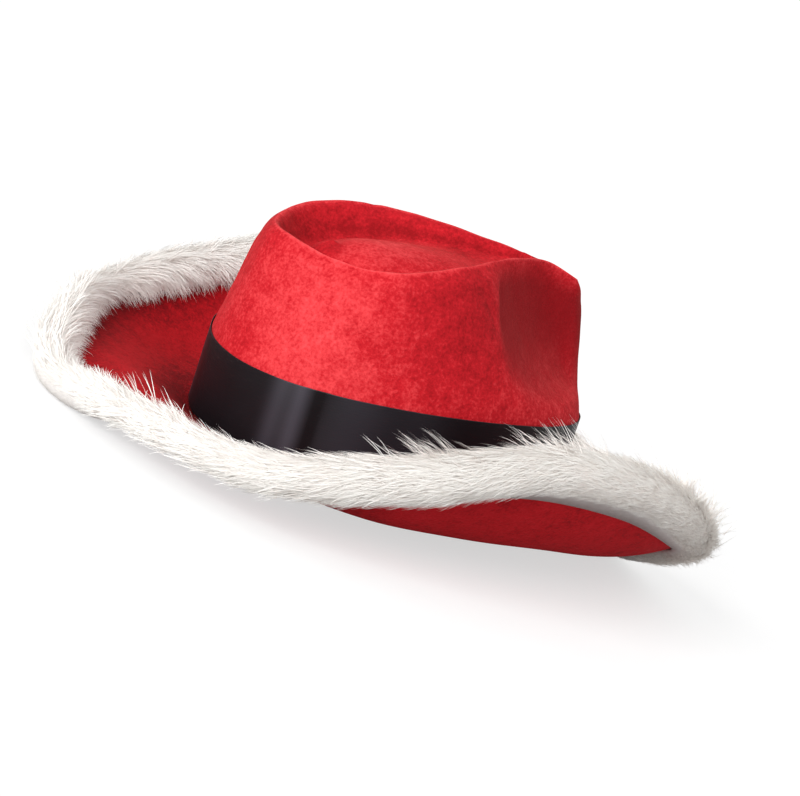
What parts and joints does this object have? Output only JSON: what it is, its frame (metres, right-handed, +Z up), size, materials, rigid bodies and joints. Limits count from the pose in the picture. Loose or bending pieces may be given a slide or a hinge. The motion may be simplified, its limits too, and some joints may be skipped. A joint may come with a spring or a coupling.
{
  "type": "santa cowboy hat",
  "caption": "Western-style santa hat: red plush crown with a pinched front, brim curled up at the sides, black satin band and white fur round the edge.",
  "frame": {"origin": "middle of the hat's box, on the surface that the hat rests on", "axes": "+X towards the front of the hat, +Y towards the wearer's left, +Z up"},
  "size_m": [0.3746, 0.3388, 0.144],
  "materials": {
    "red_plush": "short pile velour",
    "black_satin": "satin",
    "white_fur": "long pile faux fur"
  },
  "bodies": {
    "root": {"crown": "red_plush", "brim": "red_plush", "hat_band": "black_satin", "fur_trim": "white_fur"}
  },
  "joints": []
}
